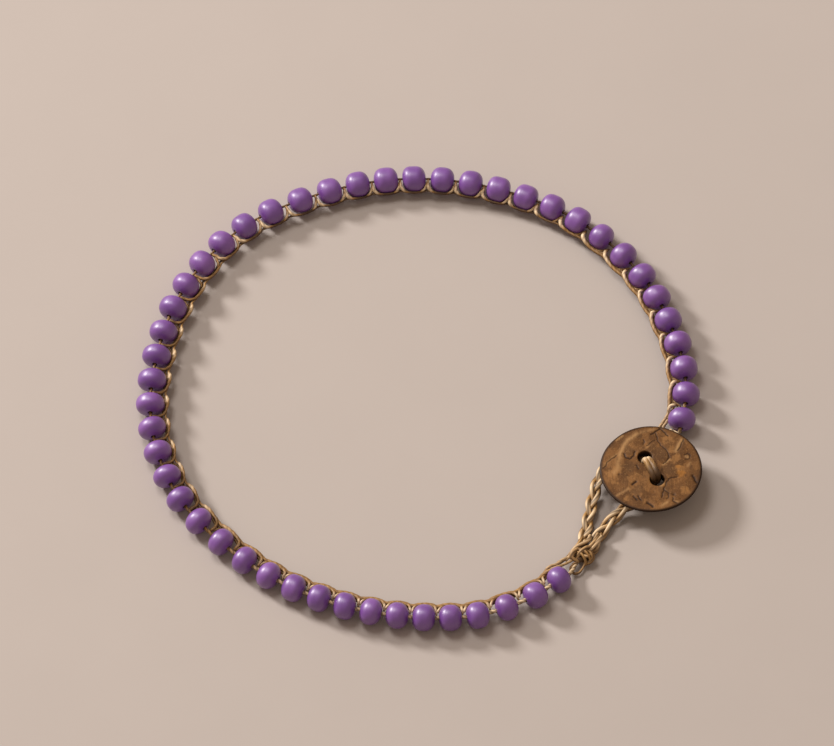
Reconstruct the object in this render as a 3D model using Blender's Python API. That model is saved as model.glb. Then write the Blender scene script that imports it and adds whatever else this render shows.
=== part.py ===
"""Beaded anklet, lying flat and closed.

Round barrel beads are strung on a waxed thread. A crocheted chain of cord runs along their
inner side and ties them together. Both cords end at a coconut shell button at one end and in
a knot at the other, and the knot holds a plaited loop that is slipped over the button.

Metres, +Z up. The beads rest on z = 0, and the origin is below the middle of the whole.
"""

import math

import bmesh
import bpy
import numpy as np

# Beads
BEAD_COUNT = 49
BEAD_DIAMETER = 0.0041
BEAD_LENGTH = 0.0032
BEAD_BORE = 0.0013
BEAD_GAP = 0.00116
BEAD_SIDES = 12

# Bead outline from its middle to its end, as shares of half the length and of the radius
BEAD_OUTLINE = [
    (0.32, 1.00),
    (0.70, 0.90),
    (1.00, 0.60),
]

# Cords: the thread runs on straight past the end beads for this share of a bead's length
THREAD_DIAMETER = 0.0007
THREAD_STRAIGHT = 0.72
CHAIN_WIDTH = 0.0007
CHAIN_HEIGHT = 0.0008
CHAIN_SCALLOP = 0.0005
CHAIN_SIDES = 6
CHAIN_STEPS_PER_BEAD = 4
CLEARANCE = 0.0003

# Coconut shell button
BUTTON_DIAMETER = 0.015
BUTTON_THICKNESS = 0.0016
BUTTON_SIDES = 40
HOLE_DIAMETER = 0.0021
HOLE_SPACING = 0.0043
HOLE_BEARING = -65.0
HOLE_SIDES = 16

# Button outline from its underside up: how far in from its edge, and share of its thickness
BUTTON_OUTLINE = [
    (0.00110, 0.00),
    (0.00033, 0.22),
    (0.00000, 0.56),
    (0.00015, 0.78),
    (0.00050, 0.88),
    (0.00340, 1.00),
]

# Cord sewn through the button, and how its legs lean apart in the shank below
STITCH_WIDTH = 0.0015
STITCH_THICKNESS = 0.0008
STITCH_SIDES = 10
SHANK_FOOT = 0.00015
SHANK_FLARE = 0.55
SHANK_LEAN = 1.2

# Turn of that cord over the button: share of half the hole spacing, and drop in thicknesses
STITCH_TURN = [
    (1.00, 1.12),
    (0.86, 0.20),
    (0.55, 0.00),
    (0.00, -0.05),
]

# Plaited loop; it climbs over the cords between the two shares of its way to the shank
LOOP_WIDTH = 0.0019
LOOP_THICKNESS = 0.0015
LOOP_STRAND = 0.00084
LOOP_PLAIT = 0.006
LOOP_BOW = 0.0060
LOOP_CLIMB = (0.35, 0.85)
LOOP_SIDES = 12
LOOP_STEPS_PER_PLAIT = 9

# Knot at the foot of the loop
KNOT_LENGTH = 0.0034
KNOT_WIDTH = 0.0030
KNOT_HEIGHT = 0.0022
KNOT_RIDGE = 0.00012
KNOT_WRAPS = 3
KNOT_BLUNTNESS = 0.55
KNOT_SIDES = 16
KNOT_RINGS = 15

# Where the button and the knot lie, seen from the last bead at their end of the string
BUTTON_GAP = 0.0020
BUTTON_BEARING = -14.0
KNOT_GAP = 0.0027
KNOT_BEARING = 17.0

# Route of the string: share of its length, x and y in ring radii, and the degrees by which the
# chain stands above the beads' middle there
ROUTE = [
    (0.000, 0.999, -0.107, -12),
    (0.021, 1.016, 0.008, -12),
    (0.062, 0.986, 0.232, -12),
    (0.125, 0.852, 0.540, -15),
    (0.188, 0.606, 0.795, -20),
    (0.250, 0.307, 0.935, -25),
    (0.312, -0.011, 0.983, -25),
    (0.375, -0.335, 0.927, -25),
    (0.438, -0.660, 0.765, -18),
    (0.500, -0.879, 0.498, -8),
    (0.562, -0.988, 0.179, 2),
    (0.625, -1.004, -0.149, 8),
    (0.688, -0.895, -0.469, 8),
    (0.750, -0.653, -0.741, 8),
    (0.812, -0.374, -0.908, 8),
    (0.875, -0.077, -0.986, 8),
    (0.938, 0.229, -0.985, 8),
    (0.979, 0.443, -0.896, 8),
    (1.000, 0.533, -0.826, 8),
]

# Route of the loop between knot and button: share of the way to the shank, share of the bow.
# Round the shank it follows an arc between two angles.
LOOP_ROUTE_OUT = [
    (0.12, -0.13),
    (0.20, -0.03),
    (0.30, 0.03),
    (0.45, 0.05),
    (0.64, -0.03),
]
LOOP_ROUTE_BACK = [
    (0.96, 0.80),
    (0.86, 1.00),
    (0.74, 1.00),
    (0.52, 0.77),
    (0.33, 0.50),
    (0.20, 0.33),
    (0.12, 0.24),
]
LOOP_ARC = (-105.0, 60.0)
LOOP_ARC_POINTS = 6

UP = np.array([0.0, 0.0, 1.0])


def unit(vector):
    """The vector at length one."""
    return vector / np.linalg.norm(vector)


def turned(vector, degrees):
    """A level vector turned about +Z."""
    angle = math.radians(degrees)
    cosine, sine = math.cos(angle), math.sin(angle)
    return np.array([cosine * vector[0] - sine * vector[1], sine * vector[0] + cosine * vector[1]])


def raised(point, height):
    """A level point at a height."""
    return np.array([point[0], point[1], height])


def smooth_point(knots, points, at):
    """A point of the smooth curve through the given points, which are reached at the knots."""
    last = len(knots) - 1
    low = int(np.clip(np.searchsorted(knots, at, side="right") - 1, 0, last - 1))

    def slope(index):
        before, after = max(index - 1, 0), min(index + 1, last)
        return (points[after] - points[before]) / (knots[after] - knots[before])

    span = knots[low + 1] - knots[low]
    t = (at - knots[low]) / span
    return (
        (2 * t**3 - 3 * t**2 + 1) * points[low]
        + (t**3 - 2 * t**2 + t) * span * slope(low)
        + (3 * t**2 - 2 * t**3) * points[low + 1]
        + (t**3 - t**2) * span * slope(low + 1)
    )


def smooth_path(points, step):
    """The smooth curve through the points, cut into equal steps of about the given length."""
    knots = np.concatenate([[0.0], np.cumsum(np.linalg.norm(np.diff(points, axis=0), axis=1))])
    samples_per_step = 8
    count = max(2, int(round(knots[-1] / step)))
    fine = np.array(
        [smooth_point(knots, points, s) for s in np.linspace(0.0, knots[-1], count * samples_per_step + 1)]
    )
    run = np.concatenate([[0.0], np.cumsum(np.linalg.norm(np.diff(fine, axis=0), axis=1))])
    even = np.linspace(0.0, run[-1], count + 1)
    return np.stack([np.interp(even, run, fine[:, axis]) for axis in range(fine.shape[1])], axis=1)


# The string

BEAD_FLAT = BEAD_DIAMETER / 2 * math.cos(math.pi / BEAD_SIDES)
ROUTE_SHARES = np.array([row[0] for row in ROUTE])
ROUTE_POINTS = np.array([row[1:3] for row in ROUTE])
ROUTE_TILTS = np.array([row[3] for row in ROUTE])


def route_at(bead):
    """The route at a bead number counted from 0, in ring radii; parts of a bead are allowed."""
    return smooth_point(ROUTE_SHARES, ROUTE_POINTS, bead / (BEAD_COUNT - 1))


def chain_tilt(bead):
    """The angle by which the chain stands above the beads' middle."""
    return math.radians(np.interp(bead / (BEAD_COUNT - 1), ROUTE_SHARES, ROUTE_TILTS))


def ring_radius():
    """The radius at which the beads have their own pitch along the route."""
    beads = np.array([route_at(bead) for bead in range(BEAD_COUNT)])
    pitches = np.linalg.norm(np.diff(beads, axis=0), axis=1)
    return (BEAD_LENGTH + BEAD_GAP) * (BEAD_COUNT - 1) / pitches.sum()


RING_RADIUS = ring_radius()


def string_at(bead):
    """Level point of the string's centre line and its direction there."""
    reach = 0.25
    inside = min(max(bead, 0.0), BEAD_COUNT - 1.0)
    low = max(inside - reach, 0.0)
    high = min(inside + reach, BEAD_COUNT - 1.0)
    direction = unit(route_at(high) - route_at(low))
    beyond = (bead - inside) * (BEAD_LENGTH + BEAD_GAP)
    return route_at(inside) * RING_RADIUS + direction * beyond, direction


FIRST_BEAD, FIRST_DIRECTION = string_at(0)
LAST_BEAD, LAST_DIRECTION = string_at(BEAD_COUNT - 1)

# The closure

BUTTON_WAY = turned(-FIRST_DIRECTION, BUTTON_BEARING)
BUTTON_CENTRE = FIRST_BEAD + BUTTON_WAY * (BEAD_LENGTH / 2 + BUTTON_GAP + BUTTON_DIAMETER / 2)
KNOT_WAY = turned(LAST_DIRECTION, KNOT_BEARING)
KNOT_CENTRE = LAST_BEAD + KNOT_WAY * (BEAD_LENGTH / 2 + KNOT_GAP + KNOT_LENGTH / 2)

CORD_HEIGHT = max(THREAD_DIAMETER, CHAIN_HEIGHT)
LOOP_LIFT = CORD_HEIGHT + CLEARANCE
BUTTON_BASE = LOOP_LIFT + LOOP_THICKNESS + CLEARANCE
BUTTON_TOP = BUTTON_BASE + BUTTON_THICKNESS
FOOT_SPREAD = STITCH_THICKNESS + CLEARANCE
NECK_SPREAD = FOOT_SPREAD + (HOLE_SPACING - FOOT_SPREAD) * SHANK_FLARE
FOOT_RADIUS = (FOOT_SPREAD + STITCH_THICKNESS) / 2
NECK_RADIUS = (NECK_SPREAD + STITCH_THICKNESS * SHANK_LEAN) / 2
LOOP_ARC_RADIUS = NECK_RADIUS + CLEARANCE + LOOP_WIDTH / 2


def material(name, colour, roughness):
    """A plain material with the piece's own colour."""
    made = bpy.data.materials.new(name)
    made.use_nodes = True
    shader = made.node_tree.nodes["Principled BSDF"]
    shader.inputs["Base Color"].default_value = (*colour, 1.0)
    shader.inputs["Roughness"].default_value = roughness
    shader.inputs["Metallic"].default_value = 0.0
    return made


def place(name, data, finish, holder, spot=(0.0, 0.0, 0.0), heading=0.0):
    """An object with its material, in its place below the anklet's empty."""
    piece = bpy.data.objects.new(name, data)
    bpy.context.scene.collection.objects.link(piece)
    if not data.materials:
        data.materials.append(finish)
    piece.location = spot
    piece.rotation_euler = (0.0, 0.0, heading)
    piece.parent = holder
    return piece


def shade(mesh, sharp_degrees):
    """Smooth shading that keeps the sharper edges."""
    mesh.shade_smooth()
    mesh.set_sharp_from_angle(angle=math.radians(sharp_degrees))


def skin(name, rings, closed_along):
    """A closed mesh through rings of points, capped at both ends unless it closes on itself."""
    mesh = bpy.data.meshes.new(name)
    body = bmesh.new()
    loops = [[body.verts.new(point) for point in ring] for ring in rings]
    pairs = list(zip(loops, loops[1:]))
    if closed_along:
        pairs.append((loops[-1], loops[0]))
    for ring, following in pairs:
        for corner in range(len(ring)):
            beside = (corner + 1) % len(ring)
            body.faces.new((ring[corner], ring[beside], following[beside], following[corner]))
    if not closed_along:
        body.faces.new(loops[0])
        body.faces.new(loops[-1])
    bmesh.ops.recalc_face_normals(body, faces=body.faces)
    body.to_mesh(mesh)
    body.free()
    return mesh


def swept(name, path, reference, section):
    """A band along a path. Its section's first direction is level with the reference's side,
    its second as near the reference as the path allows."""
    rings = []
    for index, point in enumerate(path):
        ahead = unit(path[min(index + 1, len(path) - 1)] - path[max(index - 1, 0)])
        side = unit(np.cross(reference, ahead))
        other = np.cross(ahead, side)
        rings.append([point + side * across + other * along for across, along in section(index)])
    return skin(name, rings, closed_along=False)


def oval(width, height, sides):
    """The corners of an oval section."""
    angles = [2 * math.pi * (corner + 0.5) / sides for corner in range(sides)]
    return [(width / 2 * math.cos(angle), height / 2 * math.sin(angle)) for angle in angles]


def bead_mesh():
    """A drilled barrel bead along X, with one flat facet of its belly underneath."""
    half = BEAD_LENGTH / 2
    radius = BEAD_DIAMETER / 2
    outer = [(half * along, radius * out) for along, out in BEAD_OUTLINE]
    outline = [(-along, out) for along, out in reversed(outer)] + outer
    outline = [(-half, BEAD_BORE / 2)] + outline + [(half, BEAD_BORE / 2)]
    rings = []
    for along, out in outline:
        ring = []
        for corner in range(BEAD_SIDES):
            angle = 2 * math.pi * (corner + 0.5) / BEAD_SIDES - math.pi / 2
            ring.append((along, out * math.cos(angle), out * math.sin(angle)))
        rings.append(ring)
    mesh = skin("bead", rings, closed_along=True)
    shade(mesh, 50)
    return mesh


def add_beads(holder, finish):
    """The beads, one object each, along the string."""
    mesh = bead_mesh()
    for number in range(BEAD_COUNT):
        centre, direction = string_at(number)
        heading = math.atan2(direction[1], direction[0])
        place(f"bead_{number + 1:02d}", mesh, finish, holder, raised(centre, BEAD_FLAT), heading)


def shank_side(distance, sideways, height):
    """A point between the button's shank and the first bead; sideways is towards the inside."""
    inward = turned(BUTTON_WAY, -90.0)
    return raised(BUTTON_CENTRE - BUTTON_WAY * distance + inward * sideways, height)


def add_bead_thread(holder, finish):
    """The waxed thread through every bead, from the button's shank to the knot."""
    radius = THREAD_DIAMETER / 2
    sideways = -(THREAD_DIAMETER + CLEARANCE) / 2
    loop_edge = LOOP_ARC_RADIUS + LOOP_WIDTH / 2 + CLEARANCE
    points = [
        shank_side(FOOT_RADIUS + CLEARANCE, sideways, CORD_HEIGHT / 2),
        shank_side((FOOT_RADIUS + loop_edge) / 2, sideways, CORD_HEIGHT / 2),
        shank_side(loop_edge + radius, sideways, CORD_HEIGHT / 2),
    ]
    leaving = BEAD_LENGTH * THREAD_STRAIGHT / (BEAD_LENGTH + BEAD_GAP)
    outside = [-leaving] + list(range(BEAD_COUNT)) + [BEAD_COUNT - 1 + leaving]
    for bead in outside:
        points.append(raised(string_at(bead)[0], BEAD_FLAT))
    knot_face = KNOT_CENTRE - KNOT_WAY * (KNOT_LENGTH / 2 + CLEARANCE)
    points.append(raised(knot_face - turned(KNOT_WAY, 90.0) * KNOT_WIDTH / 4, KNOT_HEIGHT / 2))

    curve = bpy.data.curves.new("bead_thread", "CURVE")
    curve.dimensions = "3D"
    curve.bevel_depth = radius
    curve.bevel_resolution = 2
    curve.use_fill_caps = True
    spline = curve.splines.new("POLY")
    spline.points.add(len(points) - 1)
    for spot, point in zip(spline.points, points):
        spot.co = (*point, 1.0)
    place("bead_thread", curve, finish, holder)


def add_crochet_chain(holder, finish):
    """The crocheted chain on the beads' inner side, which swells round each bead and dips
    between them."""
    middle = BEAD_FLAT + CLEARANCE + CHAIN_WIDTH / 2
    sideways = (CHAIN_WIDTH + CLEARANCE) / 2
    loop_edge = LOOP_ARC_RADIUS + LOOP_WIDTH / 2 + CLEARANCE
    path = [
        shank_side(FOOT_RADIUS + CLEARANCE, sideways, CORD_HEIGHT / 2),
        shank_side((FOOT_RADIUS + loop_edge) / 2, sideways, CORD_HEIGHT / 2),
        shank_side(loop_edge + CHAIN_WIDTH / 2, sideways, CORD_HEIGHT / 2),
    ]
    steps = (BEAD_COUNT - 1) * CHAIN_STEPS_PER_BEAD
    for step in range(-1, steps + 2):
        bead = step / CHAIN_STEPS_PER_BEAD
        centre, direction = string_at(bead)
        reach = middle - CHAIN_SCALLOP / 2 * (1 - math.cos(2 * math.pi * bead))
        inward = turned(direction, 90.0) * reach * math.cos(chain_tilt(bead))
        path.append(raised(centre + inward, BEAD_FLAT + reach * math.sin(chain_tilt(bead))))
    knot_face = KNOT_CENTRE - KNOT_WAY * (KNOT_LENGTH / 2 + CLEARANCE)
    path.append(raised(knot_face + turned(KNOT_WAY, 90.0) * KNOT_WIDTH / 4, KNOT_HEIGHT / 2))
    outline = oval(CHAIN_WIDTH, CHAIN_HEIGHT, CHAIN_SIDES)
    mesh = swept("crochet_chain", path, UP, lambda index: outline)
    shade(mesh, 60)
    place("crochet_chain", mesh, finish, holder)


def hole_direction():
    """Level direction from the button's first hole to its second."""
    return turned(np.array([1.0, 0.0]), HOLE_BEARING)


def hole_cutter(number, along, button):
    """A guide that drills one of the button's holes."""
    tool = bpy.data.meshes.new(f"hole_{number}")
    body = bmesh.new()
    bmesh.ops.create_cone(
        body,
        cap_ends=True,
        segments=HOLE_SIDES,
        radius1=HOLE_DIAMETER / 2,
        radius2=HOLE_DIAMETER / 2,
        depth=BUTTON_THICKNESS * 2,
    )
    body.to_mesh(tool)
    body.free()
    cutter = bpy.data.objects.new(f"hole_{number}", tool)
    bpy.context.scene.collection.objects.link(cutter)
    cutter.location = raised(hole_direction() * along, BUTTON_THICKNESS / 2)
    cutter.parent = button
    cutter.hide_render = True
    cutter.display_type = "WIRE"
    return cutter


def add_coconut_button(holder, finish):
    """The round button cut from coconut shell: a crowned disc with a soft rim and two holes."""
    angles = [2 * math.pi * corner / BUTTON_SIDES for corner in range(BUTTON_SIDES)]
    rings = []
    for inset, share in BUTTON_OUTLINE:
        out = BUTTON_DIAMETER / 2 - inset
        height = BUTTON_THICKNESS * share
        rings.append([(out * math.cos(angle), out * math.sin(angle), height) for angle in angles])
    mesh = skin("coconut_button", rings, closed_along=False)
    shade(mesh, 40)
    button = place("coconut_button", mesh, finish, holder, raised(BUTTON_CENTRE, BUTTON_BASE))
    for number, side in enumerate((-1, 1), start=1):
        cutter = hole_cutter(number, side * HOLE_SPACING / 2, button)
        drill = button.modifiers.new(f"hole_{number}", "BOOLEAN")
        drill.operation = "DIFFERENCE"
        drill.solver = "EXACT"
        drill.object = cutter
    return button


def add_button_stitch(holder, finish):
    """The cord sewn through the button: up one hole, across the top and down the other, with
    both legs drawn together below as the shank."""
    foot, neck, apart = FOOT_SPREAD / 2, NECK_SPREAD / 2, HOLE_SPACING / 2
    over = BUTTON_TOP + CLEARANCE + STITCH_THICKNESS / 2
    leg = [
        (foot, SHANK_FOOT),
        (foot, CORD_HEIGHT),
        ((foot + neck) / 2, LOOP_LIFT + LOOP_THICKNESS / 2),
        (neck, LOOP_LIFT + LOOP_THICKNESS),
        ((neck + 2 * apart) / 3, BUTTON_BASE),
        (apart, BUTTON_BASE + BUTTON_THICKNESS / 2),
    ]
    for share, drop in STITCH_TURN:
        leg.append((apart * share, over - STITCH_THICKNESS * drop))
    way = hole_direction()
    halves = [(-along, height) for along, height in leg] + list(reversed(leg[:-1]))
    path = [raised(BUTTON_CENTRE + way * along, height) for along, height in halves]
    outline = oval(STITCH_THICKNESS, STITCH_WIDTH, STITCH_SIDES)
    mesh = swept("button_stitch", path, raised(turned(way, 90.0), 0.0), lambda index: outline)
    shade(mesh, 60)
    place("button_stitch", mesh, finish, holder)


def loop_centre_line():
    """The loop's way from the knot round the button's shank and back, riding over the cords."""
    reach = BUTTON_CENTRE - KNOT_CENTRE
    distance = np.linalg.norm(reach)
    way = unit(reach)
    bowed = turned(way, 90.0) * LOOP_BOW
    level = [KNOT_CENTRE + reach * along + bowed * bow for along, bow in LOOP_ROUTE_OUT]
    for degrees in np.linspace(*LOOP_ARC, LOOP_ARC_POINTS):
        level.append(BUTTON_CENTRE + turned(way, degrees) * LOOP_ARC_RADIUS)
    level += [KNOT_CENTRE + reach * along + bowed * bow for along, bow in LOOP_ROUTE_BACK]
    start, stop = LOOP_CLIMB
    points = []
    for point in level:
        along = (point - KNOT_CENTRE) @ way / distance
        share = np.clip((along - start) / (stop - start), 0.0, 1.0)
        lift = LOOP_LIFT * share * share * (3 - 2 * share)
        points.append(raised(point, LOOP_THICKNESS / 2 + lift))
    return smooth_path(np.array(points), LOOP_PLAIT / LOOP_STEPS_PER_PLAIT)


def plait_section(index):
    """Outline of three crossing strands at a step along the loop, filled in at its middle."""
    strand = LOOP_STRAND / 2
    swing = LOOP_WIDTH / 2 - strand
    rise = LOOP_THICKNESS / 2 - strand
    core = strand * 0.9
    turn = 2 * math.pi * index / LOOP_STEPS_PER_PLAIT
    centres = []
    for number in range(3):
        phase = turn + 2 * math.pi * number / 3
        centres.append((swing * math.sin(phase), rise * math.sin(2 * phase)))
    corners = []
    for corner in range(LOOP_SIDES):
        angle = 2 * math.pi * (corner + 0.5) / LOOP_SIDES
        ray = (math.cos(angle), math.sin(angle))
        reach = core
        for centre in centres:
            forward = centre[0] * ray[0] + centre[1] * ray[1]
            beside = centre[0] * ray[1] - centre[1] * ray[0]
            if abs(beside) < strand:
                reach = max(reach, forward + math.sqrt(strand**2 - beside**2))
        corners.append((reach * ray[0], reach * ray[1]))
    return corners


def add_button_loop(holder, finish):
    """The plaited loop that the button is pushed through."""
    mesh = swept("button_loop", loop_centre_line(), UP, plait_section)
    shade(mesh, 60)
    place("button_loop", mesh, finish, holder)


def add_loop_knot(holder, finish):
    """The knot that gathers the cords, with the wraps of its turns standing proud."""
    rings = []
    for ring in range(1, KNOT_RINGS - 1):
        polar = math.pi * ring / (KNOT_RINGS - 1)
        along = -KNOT_LENGTH / 2 * math.cos(polar)
        size = math.sin(polar) ** KNOT_BLUNTNESS
        corners = []
        for corner in range(KNOT_SIDES):
            angle = 2 * math.pi * (corner + 0.5) / KNOT_SIDES
            wrap = math.cos(KNOT_WRAPS * 2 * math.pi * along / KNOT_LENGTH + angle)
            ridge = KNOT_RIDGE * (wrap - 1) * size
            corners.append(
                (
                    along,
                    (KNOT_WIDTH / 2 * size + ridge) * math.cos(angle),
                    (KNOT_HEIGHT / 2 * size + ridge) * math.sin(angle),
                )
            )
        rings.append(corners)
    mesh = skin("loop_knot", rings, closed_along=False)
    shade(mesh, 60)
    heading = math.atan2(KNOT_WAY[1], KNOT_WAY[0])
    place("loop_knot", mesh, finish, holder, raised(KNOT_CENTRE, KNOT_HEIGHT / 2), heading)


def middle_below():
    """The point below the middle of all the pieces, level with the lowest of them."""
    bpy.context.view_layer.update()
    depsgraph = bpy.context.evaluated_depsgraph_get()
    corners = []
    for piece in bpy.context.scene.objects:
        if piece.type not in {"MESH", "CURVE"} or piece.hide_render:
            continue
        shown = piece.evaluated_get(depsgraph)
        mesh = shown.to_mesh()
        corners += [shown.matrix_world @ vertex.co for vertex in mesh.vertices]
        shown.to_mesh_clear()
    spread = np.array(corners)
    low, high = spread.min(axis=0), spread.max(axis=0)
    return [(low[0] + high[0]) / 2, (low[1] + high[1]) / 2, low[2]]


def build():
    """The whole anklet."""
    for leftover in list(bpy.data.objects):
        bpy.data.objects.remove(leftover, do_unlink=True)

    purple = material("purple_bead", (0.165, 0.058, 0.250), 0.42)
    tan_cord = material("waxed_cord", (0.400, 0.250, 0.110), 0.70)
    shell = material("coconut_shell", (0.175, 0.090, 0.036), 0.50)

    anklet = bpy.data.objects.new("anklet", None)
    bpy.context.scene.collection.objects.link(anklet)

    add_beads(anklet, purple)
    add_bead_thread(anklet, tan_cord)
    add_crochet_chain(anklet, tan_cord)
    add_coconut_button(anklet, shell)
    add_button_stitch(anklet, tan_cord)
    add_button_loop(anklet, tan_cord)
    add_loop_knot(anklet, tan_cord)

    anklet.location = [-value for value in middle_below()]


build()
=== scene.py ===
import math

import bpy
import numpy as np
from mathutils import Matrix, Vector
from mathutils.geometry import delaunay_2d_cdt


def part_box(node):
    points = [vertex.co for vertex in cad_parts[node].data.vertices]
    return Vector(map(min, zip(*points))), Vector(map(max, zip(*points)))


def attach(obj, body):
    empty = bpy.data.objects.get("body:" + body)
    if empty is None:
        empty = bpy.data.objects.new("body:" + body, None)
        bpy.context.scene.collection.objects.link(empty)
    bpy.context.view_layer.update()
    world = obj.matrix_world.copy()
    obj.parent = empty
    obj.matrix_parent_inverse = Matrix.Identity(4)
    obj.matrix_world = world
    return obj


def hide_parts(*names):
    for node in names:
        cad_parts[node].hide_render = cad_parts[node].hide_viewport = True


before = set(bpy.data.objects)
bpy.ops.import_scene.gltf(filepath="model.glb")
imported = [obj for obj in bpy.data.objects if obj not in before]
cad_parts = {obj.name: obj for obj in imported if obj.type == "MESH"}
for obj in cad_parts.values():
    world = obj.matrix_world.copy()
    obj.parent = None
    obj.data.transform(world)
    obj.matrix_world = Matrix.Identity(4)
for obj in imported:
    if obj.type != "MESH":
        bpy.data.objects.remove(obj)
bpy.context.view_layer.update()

# Beaded anklet with a coconut shell button, dressed for display.
#
# The beads, the cords and the button take the place of the plain solids of the frame. Tables
# and functions work in millimetres, and meshes are made in metres. The string runs from the
# first bead, beside the button, round to the last, beside the knot.

MM = 0.001
UP = np.array([0.0, 0.0, 1.0])
CHANCE = np.random.default_rng(11)

# Beads
BEAD_COUNT = 49
BEAD_BORE_RADIUS = 0.33
BEAD_BRINK = 0.22
BEAD_SIDES = 40
BEAD_OUTLINE_POINTS = 18
BEAD_PITCH = 4.36

# How much the beads differ: shares of the radius and of the half length, squareness and lean
# of the ends; then how oval and how rippled they are
RADIUS_SPREAD = (-0.02, 0.01)
LENGTH_SPREAD = (-0.02, 0.02)
SQUARE_SPREAD = (-0.25, 0.25)
LEAN_SPREAD = (-0.07, 0.07)
BEAD_OVAL = 0.012
BEAD_RIPPLE = 0.010
RIPPLE_TURN = 1.6
# Powers of a bead's outline: for round, and what square adds
OUTLINE_POWERS = ((2.05, 0.95), (2.0, 0.45))
# Edge of the bore: distance past the end of the outline and out from the bore
BORE_EDGE = ((0.01, 0.09), (-0.03, 0.03), (-0.12, 0.0))
MOUTH_FADE = 0.06

# The beads at shares of the string: radius, half length to the pole of the outline, and how
# square the outline is, 0 for round and 1 for square
BEAD_SHAPES = [
    (0.0, 2.04, 1.68, 0.4), (0.14, 2.02, 1.68, 0.5), (0.22, 1.93, 1.77, 0.8),
    (0.42, 1.93, 1.78, 0.8), (0.5, 2.03, 1.66, 0.5), (0.56, 2.14, 1.52, 0.35),
    (0.68, 2.13, 1.52, 0.35), (0.78, 2.02, 1.64, 0.4), (0.9, 1.96, 1.7, 0.55),
    (1.0, 1.96, 1.66, 0.4),
]

# Degrees by which the chain stands above the beads' middle, at shares of the string
CHAIN_TILT = [
    (0.0, -8.0), (0.12, -10.0), (0.25, -13.0), (0.4, -13.0), (0.52, -6.0), (0.66, 0.0),
    (0.78, -6.0), (1.0, -8.0),
]

# A stitch of the chain, from the thread in its gap back along two beads: distance along the
# string from the gap, inward from the string and above it, how pale the cord is there (paler
# tone and painted highlight above zero, painted shade below zero) and its radius. The
# stitches differ round the ring.
HOOKED_STITCH = [
    (0.08, 0.95, -0.25, -0.7, 0.15), (0.06, 1.22, 0.05, -0.4, 0.18),
    (0.02, 1.46, 0.28, 0.8, 0.25), (-0.06, 1.68, 0.38, 1.0, 0.28),
    (-0.3, 1.92, 0.42, 1.0, 0.28), (-0.8, 2.16, 0.38, 0.8, 0.27), (-1.6, 2.36, 0.28, 0.4, 0.27),
    (-2.5, 2.42, 0.2, 0.1, 0.27), (-3.5, 2.34, 0.12, -0.1, 0.27),
    (-4.5, 2.18, 0.04, -0.2, 0.27), (-5.5, 2.22, -0.02, -0.2, 0.26),
    (-6.6, 2.26, -0.08, -0.3, 0.24), (-7.6, 2.12, -0.16, -0.4, 0.2),
    (-8.5, 1.86, -0.3, -0.6, 0.16),
]
KNOTTY_STITCH = [
    (0.04, 0.05, -0.05, -0.8, 0.2), (0.03, 0.4, 0.2, 0.1, 0.22), (0.0, 0.8, 0.32, 0.7, 0.24),
    (-0.04, 1.22, 0.38, 0.9, 0.28), (-0.16, 1.6, 0.38, 1.0, 0.29), (-0.5, 1.92, 0.3, 0.8, 0.25),
    (-0.95, 2.08, 0.2, -0.2, 0.16), (-1.5, 2.12, 0.12, -0.9, 0.13),
    (-2.6, 2.12, 0.04, -1.0, 0.13), (-4.36, 1.84, -0.04, -0.9, 0.13),
    (-5.5, 2.08, -0.1, -1.0, 0.13), (-6.6, 2.16, -0.16, -1.0, 0.13),
    (-7.6, 2.04, -0.22, -1.0, 0.13), (-8.5, 1.78, -0.3, -1.0, 0.12),
]
LOBED_STITCH = [
    (0.02, 0.1, 0.02, -0.5, 0.3), (0.02, 0.5, 0.06, -0.8, 0.3), (0.0, 0.95, 0.08, -0.8, 0.27),
    (-0.06, 1.4, 0.12, -0.5, 0.23), (-0.34, 1.86, 0.18, -0.3, 0.18),
    (-0.9, 2.2, 0.2, -0.3, 0.17), (-1.7, 2.42, 0.2, -0.2, 0.22), (-2.6, 2.52, 0.16, 0.3, 0.28),
    (-3.5, 2.44, 0.08, 0.8, 0.27), (-4.3, 2.16, -0.04, -0.2, 0.18),
    (-5.4, 2.26, -0.12, -0.4, 0.2), (-6.6, 2.36, -0.16, -0.4, 0.2),
    (-7.6, 2.24, -0.24, -0.5, 0.17), (-8.5, 1.88, -0.36, -0.6, 0.13),
]
FORKED_STITCH = [
    (-0.1, 0.5, -0.2, -0.4, 0.13), (-0.14, 0.8, 0.04, 0.6, 0.17),
    (-0.18, 1.06, 0.22, 1.0, 0.22), (-0.22, 1.32, 0.32, 0.9, 0.22),
    (-0.3, 1.6, 0.34, 0.2, 0.24), (-0.62, 1.92, 0.26, -0.2, 0.29),
    (-1.3, 2.16, 0.18, -0.2, 0.33), (-2.3, 2.28, 0.12, -0.2, 0.35),
    (-3.3, 2.2, 0.06, -0.2, 0.35), (-4.36, 2.04, 0.02, -0.2, 0.33),
    (-5.4, 2.34, -0.04, -0.2, 0.33), (-6.6, 2.48, -0.06, -0.2, 0.32),
    (-7.6, 2.32, -0.14, -0.3, 0.28), (-8.5, 1.92, -0.3, -0.6, 0.18),
]
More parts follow.
